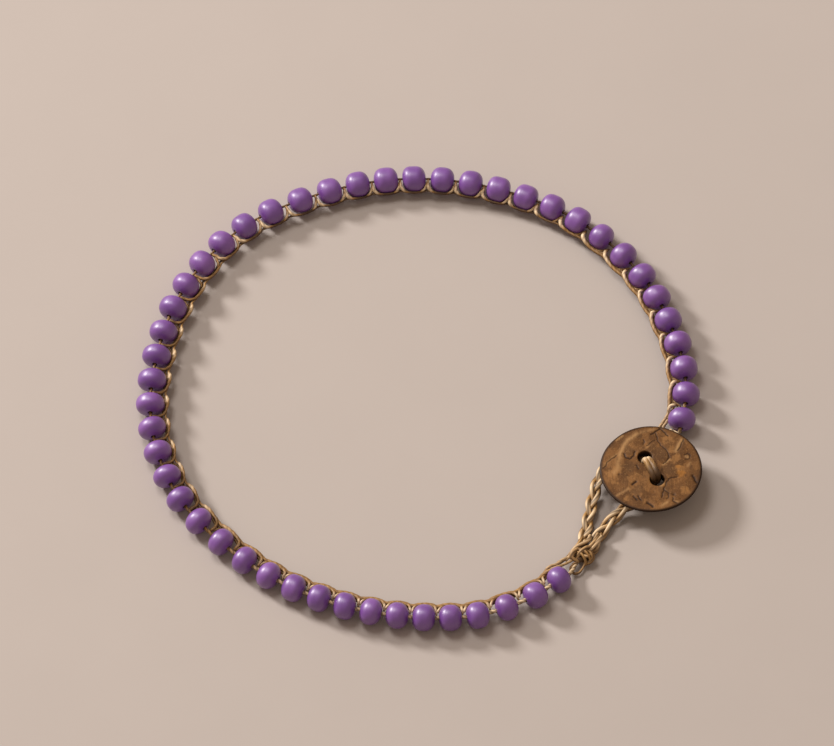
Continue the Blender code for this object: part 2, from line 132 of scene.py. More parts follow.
# The short leg that leans the other way out of the same gap
HOOKED_LEG = [
    (0.14, 0.5, -0.4, -0.8, 0.13), (0.34, 0.9, -0.25, -0.6, 0.14),
    (0.62, 1.35, -0.15, -0.4, 0.15), (0.95, 1.76, -0.15, -0.3, 0.15),
    (1.35, 2.02, -0.25, -0.3, 0.15),
]
KNOTTY_LEG = [
    (0.02, 0.3, 0.22, -0.9, 0.16), (0.14, 0.8, 0.36, -0.4, 0.17), (0.3, 1.3, 0.4, 0.5, 0.21),
    (0.6, 1.78, 0.3, 0.7, 0.2), (1.2, 2.06, 0.04, -0.6, 0.13),
]
LOBED_LEG = [
    (0.1, 0.45, -0.3, -0.8, 0.1), (0.24, 0.9, -0.2, -0.8, 0.18), (0.5, 1.35, -0.15, -0.8, 0.17),
    (0.85, 1.76, -0.15, -0.6, 0.14), (1.3, 2.05, -0.2, -0.4, 0.12),
]
FORKED_LEG = [
    (0.14, 0.72, 0.06, 0.6, 0.16), (0.2, 1.04, 0.24, 1.0, 0.2), (0.34, 1.4, 0.3, 0.8, 0.2),
    (0.66, 1.8, 0.22, 0.0, 0.2), (1.2, 2.06, 0.02, -0.3, 0.18),
]
# The stitch and leg at shares of the string
STITCHES = [
    (0.00, HOOKED_STITCH, HOOKED_LEG),
    (0.16, HOOKED_STITCH, HOOKED_LEG),
    (0.24, KNOTTY_STITCH, KNOTTY_LEG),
    (0.44, KNOTTY_STITCH, KNOTTY_LEG),
    (0.52, LOBED_STITCH, LOBED_LEG),
    (0.69, LOBED_STITCH, LOBED_LEG),
    (0.78, FORKED_STITCH, FORKED_LEG),
    (1.00, FORKED_STITCH, FORKED_LEG),
]
# The cord that backs the stitches: inward and above, beside a bead and in a gap; then how
# pale it is, below zero all along for painted shade, and its radius at shares of the string
BACKING_AT_BEAD = (2.14, -0.22)
BACKING_IN_GAP = (1.70, -0.30)
BACKING_LOOKS = [
    (0.0, -0.4, 0.25), (0.16, -0.4, 0.25), (0.24, -1.0, 0.13), (0.44, -1.0, 0.13),
    (0.52, -0.8, 0.18), (0.69, -0.7, 0.2), (0.78, -0.4, 0.3), (1.0, -0.4, 0.3),
]

# How uneven a stitch is: shift of its points, how much of it goes inward, shade and radius
STITCH_SHIFT = 0.05
STITCH_INWARD = 0.6
STITCH_SHADE = 0.15
STITCH_SWELL = (0.90, 1.10)

# Every cord: plies, share of the radius over which its ends are rounded, section left at the
# tip, offset that gives each its own fibres, and how far down its side the painted shade begins
PLIES = 2
ROUNDED_END = 0.9
TIP_SECTION = 0.04
FIBRE_OFFSET = 40
SHADE_BELOW = 0.75

# How the cords are made: length of a turn of the plies, depth of the grooves between them,
# points round the cord and step along it
CORD_LAY = {"twist": 1.8, "depth": 0.05}
BACKING_LAY = {"twist": 1.8, "depth": 0.05, "sides": 8, "step": 0.3}
THREAD_LAY = {"twist": 1.8, "depth": 0.10, "step": 0.22}
PLAIT_LAY = {"twist": 9.0, "depth": 0.13, "sides": 18, "step": 0.16}
SHADE_CORE_LAY = {"sides": 8, "step": 0.3}
KNOT_LAY = {"twist": 7.0, "depth": 0.16, "sides": 18, "step": 0.13}
SEWN_LAY = {"twist": 5.0, "depth": 0.05, "sides": 20}

# The thread outside the beads: how pale, and its radius by the shank and by the knot
THREAD_END_PALE = 0.8
SHANK_THREAD_RADIUS = 0.255
KNOT_THREAD_RADIUS = 0.30
THREAD_STEP = 0.35
# The thread at shares of the string: how pale (below zero for painted shade in the gaps between
# the beads), and its radius
THREAD_LOOKS = [
    (0.0, 0.0, 0.28), (0.03, -1.0, 0.21), (0.18, -1.0, 0.21), (0.24, -0.8, 0.18),
    (0.44, -0.8, 0.18), (0.54, -0.4, 0.23), (0.7, -0.4, 0.23), (0.77, 0.9, 0.3),
    (1.0, 0.9, 0.3),
]

# Places of the closure, and the heights of its layers
BUTTON_CENTRE = np.array([33.963, -14.001])
KNOT_CENTRE = np.array([23.738, -26.770])
BUTTON_BASE = 2.9
BUTTON_THICKNESS = 1.6
BUTTON_TOP = BUTTON_BASE + BUTTON_THICKNESS
BUTTON_RADIUS = 7.5

# Cords between the string and the closure. The first two stitches end early and run on side
# by side to the shank: how many of their rows stay, the points that follow, how far apart they
# lie, and distance from the shank and height under the button.
ROWS_BEFORE_SHANK = {1: 6, 2: 9}
FIRST_CORD = [(36.95, -2.75, 1.45), (36.30, -3.85, 1.20), (35.75, -4.75, 1.00)]
FIRST_CORD_APART = np.array([-0.50, 0.12, -0.10])
FIRST_CORD_RADIUS = 0.24
CORDS_TO_SHANK = [(6.2, 0.62), (3.6, 0.42), (1.4, 0.42)]
CORDS_SIDEWAYS = 0.35
THREAD_TO_SHANK = [(1.4, 0.45), (3.6, 0.45), (6.0, 0.60)]
THREAD_SIDEWAYS = -0.55
THREAD_TURN = [(36.85, -5.10, 0.95), (37.50, -5.55, 1.15), (38.15, -5.85, 1.50)]
THREAD_END = [
    (22.05, -30.35, 1.45), (22.4, -29.6, 1.1), (22.75, -28.69, 0.9), (23.19, -27.99, 0.9),
    (24.07, -27.42, 1.0),
]
LAST_OUTER = [
    (23.5, -26.3, 1.1), (22.31, -27.38, 1.3), (21.28, -27.92, 1.6), (19.96, -29.17, 1.95),
    (19.07, -29.66, 2.2),
]
LAST_INNER = [
    (24.1, -26.75, 1.2), (22.9, -27.49, 1.2), (22.01, -28.25, 1.35), (20.85, -29.2, 1.8),
    (19.9, -29.85, 2.25),
]
# The cords from the knot to the last stitches: points, how pale, radius, the stitch's place
# after the last bead and the first of its rows that is used
LAST_CORDS = [(LAST_INNER, 0.3, 0.22, -0.5, 8), (LAST_OUTER, 0.4, 0.24, 0.5, 12)]

# The knot's cords: route, how pale (below zero for painted shade), radius
KNOT_CORDS = [
    # A thick dark core of painted shade inside the knot.
    ([
        (22.8, -27.8, 0.8), (23.6, -27.3, 0.9), (24.6, -27.0, 0.9), (25.1, -26.3, 0.8),
    ], -1.0, 0.74),
    ([
        (23.93, -22.4, 1.05), (23.71, -23.87, 1.15), (23.26, -25.16, 1.3), (22.6, -26.21, 1.35),
        (21.94, -27.14, 1.25), (21.13, -28.02, 1.4), (20.2, -28.85, 1.75),
    ], 0.05, 0.27),
    ([
        (25.1, -23.52, 1.2), (24.88, -24.42, 1.45), (24.29, -25.14, 1.75), (23.63, -25.64, 1.85),
        (22.97, -26.1, 1.8), (22.46, -26.69, 1.6), (21.9, -27.45, 1.4), (21.3, -28.1, 1.3),
    ], 0.45, 0.31),
    ([
        (24.1, -26.55, 1.1), (24.8, -26.75, 1.75), (25.3, -27.22, 1.8), (25.42, -27.72, 1.55),
        (25.08, -28.16, 1.25), (24.5, -28.34, 1.0),
    ], -0.35, 0.27),
    ([
        (23.1, -25.9, 0.9), (23.4, -26.3, 1.7), (23.95, -26.8, 2.1), (24.5, -27.3, 2.05),
        (24.95, -27.85, 1.5), (25.05, -28.3, 0.9),
    ], -0.05, 0.24),
    ([
        (22.85, -26.55, 0.9), (23.1, -26.85, 1.6), (23.6, -27.25, 2.0), (24.05, -27.75, 1.9),
        (24.4, -28.25, 1.3), (24.45, -28.6, 0.8),
    ], -0.25, 0.24),
    ([
        (22.75, -27.95, 0.8), (23.15, -27.5, 1.5), (23.7, -27.0, 2.2), (24.3, -26.45, 2.25),
        (24.85, -25.95, 1.8), (25.2, -25.5, 1.2),
    ], 0.15, 0.25),
    ([
        (23.04, -25.65, 0.8), (23.41, -26.62, 1.45), (23.93, -27.4, 1.75), (24.44, -27.64, 1.85),
        (24.95, -27.1, 1.6), (25.25, -26.17, 1.2), (25.4, -25.36, 0.9),
    ], 0.35, 0.25),
    ([
        (23.48, -25.78, 1.3), (22.97, -26.54, 1.8), (22.46, -27.12, 1.9), (22.28, -27.6, 1.65),
        (22.72, -27.9, 1.3), (23.48, -27.7, 1.0), (24.07, -27.2, 0.8),
    ], 0.15, 0.31),
    ([
        (26.87, -23.89, 1.5), (25.98, -25.2, 1.65), (25.4, -26.05, 1.6), (24.81, -26.55, 1.25),
        (24.22, -26.88, 0.8),
    ], 0.45, 0.28),
    ([
        (26.28, -23.23, 1.25), (25.69, -24.58, 1.45), (25.1, -25.61, 1.6), (24.51, -26.15, 1.25),
        (24.07, -26.41, 0.85),
    ], 0.25, 0.28),
    ([
        (23.95, -27.6, 1.1), (23.4, -27.95, 1.15), (22.41, -28.6, 1.0), (22.12, -29.35, 0.8),
        (22.57, -29.88, 0.7), (23.23, -29.81, 0.6), (23.75, -29.25, 0.65), (24.1, -28.5, 0.8),
        (24.35, -27.7, 0.9),
    ], -0.25, 0.18),
]

# Button
HOLE_RADIUS = 1.05
HOLE_SPACING = 4.3
HOLE_BEARING = -65.0
RIM_SEGMENTS = 180
HOLE_SEGMENTS = 40
FACE_INSET = 0.32
SHELL_GRID = 0.19
FINE_GRID = 0.055
BACK_GRID = 0.6
# Cracks are drawn this much wider than the table says, and waver by a share of their length
CRACK_WIDENING = 1.25
CRACK_WAVER = 0.10
PALE_WAVER = 0.06
# The face: drop of its crown, and the radius where that begins and the length it takes
CROWN_DROP = 0.085
CROWN_SPAN = (2.0, 5.0)
# The edge's departures from a circle: waves round it, size and phase
RIM_WAVES = ((2, 0.030, 0.6), (3, 0.022, 2.1), (5, 0.014, 4.0), (9, 0.008, 1.0))
# Darkening of the edge, by height
RIM_SHADES = ([0.0, 0.6, 1.2, 1.45, 1.5], [0.80, 0.95, 1.0, 1.0, 0.80])
# Walls of the holes from the top down: distance out from the radius, height and painted shade
HOLE_WALLS = [
    (0.05, 1.55, 0.45), (0.01, 1.44, 0.75), (0.0, 1.28, 0.95), (0.0, 0.8, 1.0), (0.0, 0.2, 1.0),
    (0.1, 0.0, 0.8),
]

# Outline of the button below its face: distance in from the edge, and height
BUTTON_EDGE = [
    (0.2, 1.5), (0.12, 1.47), (0.06, 1.42), (0.02, 1.35), (0.0, 1.27), (0.05, 1.15),
    (0.22, 0.9), (0.4, 0.62), (0.58, 0.35), (0.8, 0.1), (1.05, 0.0),
]

# Cracks in the button's face, from its centre: points along each, then width and depth
CRACKS = [
    ([(-3.93, 2.5), (-3.7, 1.85), (-3.12, 1.62), (-2.62, 2.1), (-2.33, 2.9)], 0.15, 0.07),
    ([(-2.74, -2.84), (-2.48, -2.58), (-2.22, -2.34)], 0.2, 0.1),
    ([
        (0.72, 6.13), (0.92, 4.96), (1.41, 3.95), (2.1, 3.36),
        (2.52, 2.65), (2.69, 1.9), (2.3, 1.25), (1.8, 0.75),
    ], 0.10, 0.05),
    ([(1.35, 6.95), (0.75, 6.5), (0.0, 5.96)], 0.15, 0.08),
    ([(1.35, 6.95), (1.85, 6.4), (2.5, 5.7)], 0.14, 0.06),
    ([(4.75, 5.0), (4.45, 4.2), (3.88, 3.1)], 0.1, 0.05),
    ([(6.1, -1.32), (6.36, -1.8), (6.68, -2.4)], 0.22, 0.1),
    ([
        (3.78, -1.5), (2.79, -1.74), (2.3, -2.3),
        (1.95, -3.3), (1.8, -4.05), (1.55, -5.05),
    ], 0.12, 0.05),
    ([(-0.6, -6.02), (-0.15, -6.28), (0.25, -6.7)], 0.18, 0.09),
    ([(-2.6, -4.85), (-2.13, -5.49)], 0.16, 0.06),
    ([(-1.88, -4.85), (-1.5, -5.52)], 0.14, 0.06),
    ([(-1.1, 4.95), (-0.95, 4.55), (-1.15, 4.2)], 0.14, 0.05),
    ([(-2.13, 0.52), (-1.82, -0.12)], 0.12, 0.04),
    ([(4.95, 2.35), (5.35, 2.62), (5.75, 2.2), (5.6, 1.7), (5.1, 1.62)], 0.12, 0.04),
    ([(3.2, -5.1), (3.2, -5.7), (3.7, -6.0)], 0.12, 0.05),
    ([(-0.6, 3.9), (0.1, 4.6), (0.6, 4.9)], 0.1, 0.03),
    ([(-7.0, 0.05), (-6.0, 1.4), (-5.09, 2.25)], 0.1, 0.04),
    ([(1.9, -3.6), (2.6, -4.3), (2.45, -5.2)], 0.1, 0.04),
]
# Pits: place, radius and depth
PITS = [
    (3.28, -4.56, 0.4, 0.1), (-1.15, 4.49, 0.28, 0.06), (-4.7, -1.03, 0.26, 0.06),
    (2.3, -5.25, 0.18, 0.06), (4.3, -5.3, 0.16, 0.05), (5.35, 3.3, 0.16, 0.04),
    (-3.9, -5.0, 0.15, 0.04), (0.4, -4.1, 0.14, 0.04),
]
# Pale grain lines of the shell, and among them painted highlights: points along each, width and
# how pale
PALE_LINES = [
    ([(-2.13, 6.01), (-3.41, 4.96), (-3.95, 4.01), (-4.3, 3.07), (-4.6, 2.3)], 0.34, 0.9),
    ([(-4.6, 2.3), (-4.82, 1.0), (-4.82, 0.0), (-5.38, -0.8)], 0.4, 0.6),
    ([(0.4, 6.8), (-1.0, 6.4), (-2.13, 6.01)], 0.24, 0.5),
    ([(-7.0, 0.35), (-5.95, 1.6), (-5.0, 2.55)], 0.16, 0.6),
    ([(-5.0, -4.75), (-4.1, -4.15), (-3.2, -3.5)], 0.2, 0.7),
    ([(4.5, 4.95), (4.05, 4.0), (3.68, 3.05)], 0.3, 1.0),
    ([(1.78, 0.62), (2.3, 1.05), (2.78, 1.55)], 0.16, 0.9),
    ([(1.6, -6.45), (2.0, -6.15), (2.4, -5.85)], 0.22, 0.8),
    ([(5.2, 2.1), (5.4, 1.95)], 0.3, 0.8),
    ([(5.8, 1.05), (5.4, 0.45)], 0.18, 0.6),
    # Painted highlight: a glint near the upper left of the edge.
    ([(-5.1, 4.9), (-4.6, 5.35), (-4.15, 5.72)], 0.16, 1.0),
    # Painted highlight beside the lower hole.
    ([(1.5, -3.05), (1.85, -2.7)], 0.22, 0.9),
    ([(3.6, -5.7), (4.1, -5.85)], 0.18, 0.8),
    ([(-0.7, 3.55), (-0.2, 4.05)], 0.16, 0.5),
]
# Zones of the face: place, radius and strength
WARM_ZONES = [
    (4.45, -0.95, 0.75, 1.0), (4.25, 0.15, 0.9, 0.5), (4.9, -3.7, 1.1, 0.3),
    # The first zone on this line, beside the lower hole, is a painted highlight.
    (1.7, -2.9, 0.45, 0.8), (-5.6, -0.9, 1.1, 0.2), (0.6, -5.2, 1.5, 0.3),
]
LIGHT_ZONES = [
    (2.4, 5.1, 1.1, 0.7), (3.0, 3.1, 0.8, 0.8), (3.6, 1.6, 0.9, 0.9), (4.2, 0.0, 0.8, 0.8),
    (-5.6, -0.8, 1.15, 0.8), (-4.9, -2.6, 0.9, 0.6), (4.9, -3.8, 0.95, 0.8),
    (-3.8, -5.1, 0.9, 0.5), (0.4, -4.8, 1.0, 0.4), (-1.2, -5.9, 0.8, 0.4),
]
DARK_ZONES = [
    (1.2, 2.75, 1.4, 1.0), (0.3, 4.2, 1.0, 0.7), (2.6, -0.2, 1.05, 0.9),
    (-3.16, 3.1, 0.95, 0.9), (-3.2, 0.3, 1.25, 0.9), (-2.1, -3.95, 1.1, 0.8),
    (-5.7, 4.2, 1.0, 0.6), (-1.6, 5.6, 0.9, 0.5), (6.0, 0.2, 0.9, 0.5), (2.3, -3.7, 0.8, 0.5),
    (-0.8, -1.6, 1.1, 0.5), (5.6, 4.0, 0.7, 0.4),
]

# Plaited loop: share of the way from knot to shank, and share of its bow
LOOP_ROUTE_OUT = [(0.12, -0.13), (0.20, -0.03), (0.30, 0.03), (0.45, 0.05), (0.64, -0.03)]
LOOP_ROUTE_BACK = [
    (0.96, 0.8), (0.86, 1.0), (0.74, 1.0), (0.52, 0.77), (0.33, 0.5), (0.2, 0.33), (0.12, 0.24),
]
LOOP_ENDS = [(25.00, -26.35, 0.90), (24.05, -25.30, 0.95)]
LOOP_BOW = 6.0
LOOP_ARC = (-105.0, 60.0)
LOOP_ARC_RADIUS = 3.16
LOOP_MIDDLE = 0.78
LOOP_LIFT = 1.1
LOOP_CLIMB = (0.35, 0.85)
PLAIT_PERIOD = 8.4
PLAIT_LOOSE_PERIOD = 10.4
PLAIT_LOOSE_LENGTH = 9.0
PLAIT_SWING = 0.62
PLAIT_RISE = 0.28
PLAIT_STRAND = 0.34
# Radius of the dark core of painted shade inside the plait
PLAIT_SHADE_CORE = 0.26
# The plait draws together towards its ends: distance from the end, and share of the swing
PLAIT_GATHER = ([0.0, 2.5], [0.45, 1.0])

# Cord through the button: its two strands lean over each other, and fade from a painted
# highlight at one end to painted shade at the other, with painted shade below the face.
# Half of a strand's way is given by distance from the middle and height.
SEWN_STRAND = 0.46
SEWN_APART = 0.32
SEWN_LEAN = 0.10
SEWN_REACH = 1.6
SEWN_PAINTED_LIGHT = ([-1.5, -1.2, -0.95, -0.5, 0.2, 0.8], [1.0, 0.8, 0.15, -0.25, -0.6, -1.0])
SEWN_PAINTED_SHADE_BELOW = -0.9
SEWN_LEG = [
    (0.55, 0.48), (0.55, 0.95), (0.9, 1.85), (1.25, 2.55), (1.55, 3.1), (1.62, 3.8),
    (1.58, 4.4), (1.36, 4.84), (0.9, 5.03), (0.45, 5.06), (0.0, 5.07),
]


# Shared geometry


def unit(vector):
    """The vector at length one."""
    return vector / np.linalg.norm(vector)


def turned(vector, degrees):
    """A level vector turned about +Z."""
    cosine, sine = math.cos(math.radians(degrees)), math.sin(math.radians(degrees))
    return np.array([cosine * vector[0] - sine * vector[1], sine * vector[0] + cosine * vector[1]])


def raised(point, height):
    """A level point at a height."""
    return np.array([point[0], point[1], height])


def along_string(table, bead):
    """The values of a table by share of the string."""
    shares, *columns = zip(*table)
    return [np.interp(bead / (BEAD_COUNT - 1), shares, column) for column in columns]


def hermite(t, here, slope_here, there, slope_there):
    """The smooth curve from one point to the next, with a slope at each."""
    return (
        (2 * t**3 - 3 * t**2 + 1) * here
        + (t**3 - 2 * t**2 + t) * slope_here
        + (3 * t**2 - 2 * t**3) * there
        + (t**3 - t**2) * slope_there
    )


def distances_along(line):
    """The length of the line up to each of its points."""
    return np.concatenate([[0.0], np.cumsum(np.linalg.norm(np.diff(line, axis=0), axis=1))])


def smooth_path(points, step):
    """The smooth curve through the points, cut into equal steps. Columns after the third go
    along with it."""
    points = np.asarray(points, dtype=float)
    knots = distances_along(points[:, :3])
    slopes = np.gradient(points, knots, axis=0)
    fine = np.linspace(0.0, knots[-1], int(knots[-1] / step * 6) + 2)
    low = np.clip(np.searchsorted(knots, fine, side="right") - 1, 0, len(knots) - 2)
    span = (knots[low + 1] - knots[low])[:, None]
    t = (fine - knots[low])[:, None] / span
    curve = hermite(t, points[low], span * slopes[low], points[low + 1], span * slopes[low + 1])
    run = distances_along(curve[:, :3])
    even = np.linspace(0.0, run[-1], max(3, int(round(run[-1] / step))) + 1)
    return np.stack([np.interp(even, run, column) for column in curve.T], axis=1)


def carried_frames(path):
    """Two directions across the path at each point, carried along it without twist."""
    ahead = np.gradient(path, axis=0)
    ahead /= np.linalg.norm(ahead, axis=1)[:, None]
    start = np.cross(ahead[0], UP)
    if np.linalg.norm(start) < 0.2:
        start = np.cross(ahead[0], [1.0, 0.0, 0.0])
    sides = [unit(start)]
    for direction in ahead[1:]:
        side = sides[-1] - direction * (sides[-1] @ direction)
        sides.append(unit(side))
    sides = np.array(sides)
    return sides, np.cross(ahead, sides)


def band(here, there):
    """Quads between two rings of points, given by their numbers."""
    return np.stack([here, there, np.roll(there, -1), np.roll(here, -1)], axis=1)


def placed(name, data):
    """A new object in the scene."""
    made = bpy.data.objects.new(name, data)
    bpy.context.scene.collection.objects.link(made)
    return made


def finish_mesh(name, points, faces, smooth_degrees=None):
    """An object from points in millimetres."""
    mesh = bpy.data.meshes.new(name)
    mesh.from_pydata((np.asarray(points) * MM).tolist(), [], faces)
    mesh.shade_smooth()
    if smooth_degrees is not None:
        mesh.set_sharp_from_angle(angle=math.radians(smooth_degrees))
    return placed(name, mesh)


def give(piece, name, values):
    """One number, or three, for each point of the mesh, for its material to read."""
    values = np.asarray(values, dtype=float)
    kind = "FLOAT" if values.ndim == 1 else "FLOAT_VECTOR"
    layer = piece.data.attributes.new(name, kind, "POINT")
    layer.data.foreach_set("value" if values.ndim == 1 else "vector", values.ravel())


def belongs(piece, nodes, material):
    """Ties a finished piece to the frame."""
    piece.data.materials.append(material)
    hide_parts(*nodes)
    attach(piece, "root")


def even_rows(points, pale, radius):
    """Rows of a cord with the same paleness and radius all along."""
    return [[*point, pale, radius] for point in points]


class Yarn:
    """Gathers twisted cords into one mesh. Each cord is a bundle of plies whose grooves wind
    round it."""

    def __init__(self):
        self.points = []
        self.faces = []
        self.marks = {"lay": [], "pale": [], "tone": [], "painted_shade": []}
        self.count = 0

    def cord(self, rows, step=0.15, twist=1.5, depth=0.10, sides=10):
        """One cord along rows of a place, how pale it is there (paler tone and painted highlight
        above zero, painted shade below zero) and its radius.
        """
        path = smooth_path(rows, step)
        line, pale, radius = path[:, :3], path[:, 3], path[:, 4]
        run = distances_along(line)
        side, over = carried_frames(line)
        angles = 2 * math.pi * np.arange(sides) / sides
        shape = 1.0 + depth * np.cos(PLIES * angles)
        end = np.minimum(run, run[-1] - run) / (radius * ROUNDED_END)
        swell = np.sqrt(np.clip(1 - (1 - np.clip(end, 0.0, 1.0)) ** 2, TIP_SECTION, 1.0))
        start = CHANCE.uniform(0, 2 * math.pi)
        tone = CHANCE.uniform(-1, 1)
        # Painted shade in the grooves between the plies.
        painted_groove_shade = np.clip(-np.cos(PLIES * angles), 0, 1) * min(1.0, depth * 10)
        for index in range(len(line)):
            wound = angles + start + 2 * math.pi * run[index] / twist
            reach = radius[index] * shape * swell[index]
            spots = line[index] + np.outer(reach * np.cos(wound), side[index])
            self.points.append(spots + np.outer(reach * np.sin(wound), over[index]))
            fibre = np.full(sides, run[index] + FIBRE_OFFSET * start)
            self.marks["lay"].append(np.stack([np.cos(angles), np.sin(angles), fibre], axis=1))
            self.marks["pale"].append(np.full(sides, pale[index]))
            self.marks["tone"].append(np.full(sides, tone))
            # Painted shade on the cord's underside, from where it faces down past SHADE_BELOW.
            facing = np.cos(wound) * side[index, 2] + np.sin(wound) * over[index, 2]
            self.marks["painted_shade"].append(np.maximum(painted_groove_shade, np.clip(SHADE_BELOW - facing, 0, 1)))
        ring = self.count + np.arange(sides)
        for index in range(len(line) - 1):
            here = ring + index * sides
            self.faces += band(here, here + sides)[:, [0, 3, 2, 1]].tolist()
        self.faces.append(ring[::-1].tolist())
        self.faces.append((ring + (len(line) - 1) * sides).tolist())
        self.count += len(line) * sides

    def piece(self, name, nodes, material):
        """The gathered cords as one object, in place of the frame's cord."""
        made = finish_mesh(name, np.concatenate(self.points), self.faces)
        for key, blocks in self.marks.items():
            give(made, key, np.concatenate(blocks))
        belongs(made, nodes, material)


# The string, read from the beads of the frame


def bead_spots():
    """The middle of every bead."""
    spots = []
    for number in range(1, BEAD_COUNT + 1):
        low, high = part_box(f"bead_{number:02d}")
        spots.append([(a + b) / 2 / MM for a, b in zip(low, high)])
    return np.array(spots)


BEAD_SPOTS = bead_spots()
BEAD_SLOPES = np.gradient(BEAD_SPOTS, axis=0)


def string_at(bead):
    """The string's middle at a bead counted from 0, and its direction."""
    last = BEAD_COUNT - 1
    inside = min(max(bead, 0.0), float(last))
    low = min(int(inside), last - 1)
    t = inside - low
    a, b = BEAD_SPOTS[low], BEAD_SPOTS[low + 1]
    c, d = BEAD_SLOPES[low], BEAD_SLOPES[low + 1]
    slope = 6 * (t**2 - t) * (a - b) + (3 * t**2 - 4 * t + 1) * c + (3 * t**2 - 2 * t) * d
    direction = unit(slope)
    return hermite(t, a, c, b, d) + direction * (bead - inside) * BEAD_PITCH, direction


def by_string(bead, along, inward, above):
    """A point given by its distances from the string near a bead."""
    place = bead + along / BEAD_PITCH
    spot, direction = string_at(place)
    level = raised(turned(direction, 90.0), 0.0)
    tilt = math.radians(along_string(CHAIN_TILT, place)[0])
    inner = level * math.cos(tilt) + UP * math.sin(tilt)
    upper = UP * math.cos(tilt) - level * math.sin(tilt)
    return spot + inner * inward + upper * above


# Materials


class Graph:
    """A material and short calls for building its nodes."""

    def __init__(self, name, **values):
        self.material = bpy.data.materials.new(name)
        self.material.use_nodes = True
        self.tree = self.material.node_tree
        self.surface(**values)

    def feed(self, socket, value):
        """A link if the value is a socket, otherwise a set value."""
        if isinstance(value, bpy.types.NodeSocket):
            self.tree.links.new(value, socket)
        else:
            socket.default_value = value

    def surface(self, **values):
        """Links or values for the shader's inputs."""
        shader = self.tree.nodes["Principled BSDF"]
        for key, value in values.items():
            self.feed(shader.inputs[key.replace("_", " ")], value)

    def node(self, kind, output, inputs, **settings):
        """An output of a new node whose settings and inputs are given."""
        made = self.tree.nodes.new(kind)
        for key, value in settings.items():
            setattr(made, key, value)
        for key, value in inputs.items():
            self.feed(made.inputs[key], value)
        return made.outputs[output]

    def place(self):
        return self.node("ShaderNodeTexCoord", "Object", {})

    def noise(self, vector, scale, detail=3.0, roughness=0.55, distortion=0.0, output="Fac"):
        inputs = {"Vector": vector, "Scale": scale, "Detail": detail}
        inputs |= {"Roughness": roughness, "Distortion": distortion}
        return self.node("ShaderNodeTexNoise", output, inputs)

    def cells(self, vector, scale):
        """A random value for each irregular cell."""
        colour = self.node("ShaderNodeTexVoronoi", "Color", {"Vector": vector, "Scale": scale})
        return self.node("ShaderNodeSeparateColor", "Red", {"Color": colour})

    def stretch(self, vector, scale):
        return self.node("ShaderNodeMapping", "Vector", {"Vector": vector, "Scale": scale})

    def warp(self, vector, scale, amount):
        """The coordinates shifted about by noise."""
        shift = self.noise(vector, scale, output="Color")
        inputs = {0: shift, 1: (amount, amount, amount), 2: vector}
        return self.node("ShaderNodeVectorMath", "Vector", inputs, operation="MULTIPLY_ADD")

    def reading(self, name, output="Fac"):
        return self.node("ShaderNodeAttribute", output, {}, attribute_name=name)

    def spread(self, value, low, high, to_low=0.0, to_high=1.0):
        """The value eased from one range into another."""
        inputs = {"Value": value, "From Min": low, "From Max": high}
        inputs |= {"To Min": to_low, "To Max": to_high}
        return self.node("ShaderNodeMapRange", "Result", inputs, interpolation_type="SMOOTHSTEP")

    def combine(self, operation, a, b):
        return self.node("ShaderNodeMath", 0, {0: a, 1: b}, operation=operation)

    def strongly(self, name, strength):
        """A point value of the mesh, times a strength."""
        return self.combine("MULTIPLY", self.reading(name), strength)

    def coats(self, colour, *coats):
        """A colour under coats, each a share and a colour."""
        for share, coat in coats:
            under = (*colour, 1.0) if isinstance(colour, tuple) else colour
            inputs = {"Factor": share, 6: under, 7: (*coat, 1.0)}
            colour = self.node("ShaderNodeMix", 2, inputs, data_type="RGBA")
        return colour

    def bump(self, height, strength, distance):
        inputs = {"Strength": strength, "Distance": distance, "Height": height}
        return self.node("ShaderNodeBump", "Normal", inputs)


def bead_material():
    """Opaque purple with a satin skin, a little different from bead to bead."""
    graph = Graph("satin_purple", Specular_IOR_Level=0.60, Coat_Weight=0.90, Coat_Roughness=0.37)
    spot = graph.place()
    clouds = graph.noise(spot, 420.0, detail=4.0)
    specks = graph.noise(spot, 2600.0, roughness=0.7)
    body = graph.coats(
        (0.146, 0.042, 0.242),
        (graph.spread(clouds, 0.35, 0.68), (0.200, 0.067, 0.312)),
        (graph.spread(graph.reading("tone"), -1.0, 1.0, 0.0, 0.5), (0.130, 0.037, 0.246)),
        (graph.spread(specks, 0.60, 0.78, 0.0, 0.35), (0.285, 0.125, 0.370)),
        (graph.reading("mouth"), (0.050, 0.018, 0.065)),
    )
    rough = graph.spread(clouds, 0.3, 0.7, 0.44, 0.54)
    graph.surface(Base_Color=body, Roughness=rough, Normal=graph.bump(specks, 0.10, 0.00006))
    return graph.material


def cord_material():
    """Waxed tan cord: fibres that follow the twist, painted shade in the grooves between the plies
    and on the undersides, a paler tone with painted highlight, and painted shade where the
    paleness is below zero."""
    graph = Graph("waxed_tan_cord", Specular_IOR_Level=0.35, Coat_Weight=0.10, Coat_Roughness=0.35)
    lay = graph.reading("lay", "Vector")
    fibres = graph.noise(graph.stretch(lay, (3.0, 3.0, 0.9)), 1.6, detail=4.0, roughness=0.65)
    patches = graph.noise(graph.stretch(lay, (0.3, 0.3, 0.5)), 1.0, detail=2.0)
    colour = graph.coats(
        (0.255, 0.122, 0.036),
        (graph.spread(fibres, 0.36, 0.64), (0.540, 0.310, 0.105)),
        (graph.spread(patches, 0.40, 0.70, 0.0, 0.6), (0.440, 0.222, 0.060)),
        (graph.spread(graph.reading("tone"), -1.0, 1.0, 0.0, 0.4), (0.280, 0.148, 0.052)),
        # Paler tone and painted highlight where the paleness is above zero, painted shade where it
        # is below.
        (graph.strongly("pale", 0.80), (0.880, 0.670, 0.430)),
        (graph.strongly("pale", -0.85), (0.055, 0.026, 0.012)),
        # Painted shade in the grooves and on the undersides.
        (graph.strongly("painted_shade", 0.85), (0.070, 0.032, 0.011)),
    )
    rough = graph.spread(fibres, 0.3, 0.7, 0.42, 0.60)
    graph.surface(Base_Color=colour, Roughness=rough, Normal=graph.bump(fibres, 0.35, 0.00008))
    return graph.material


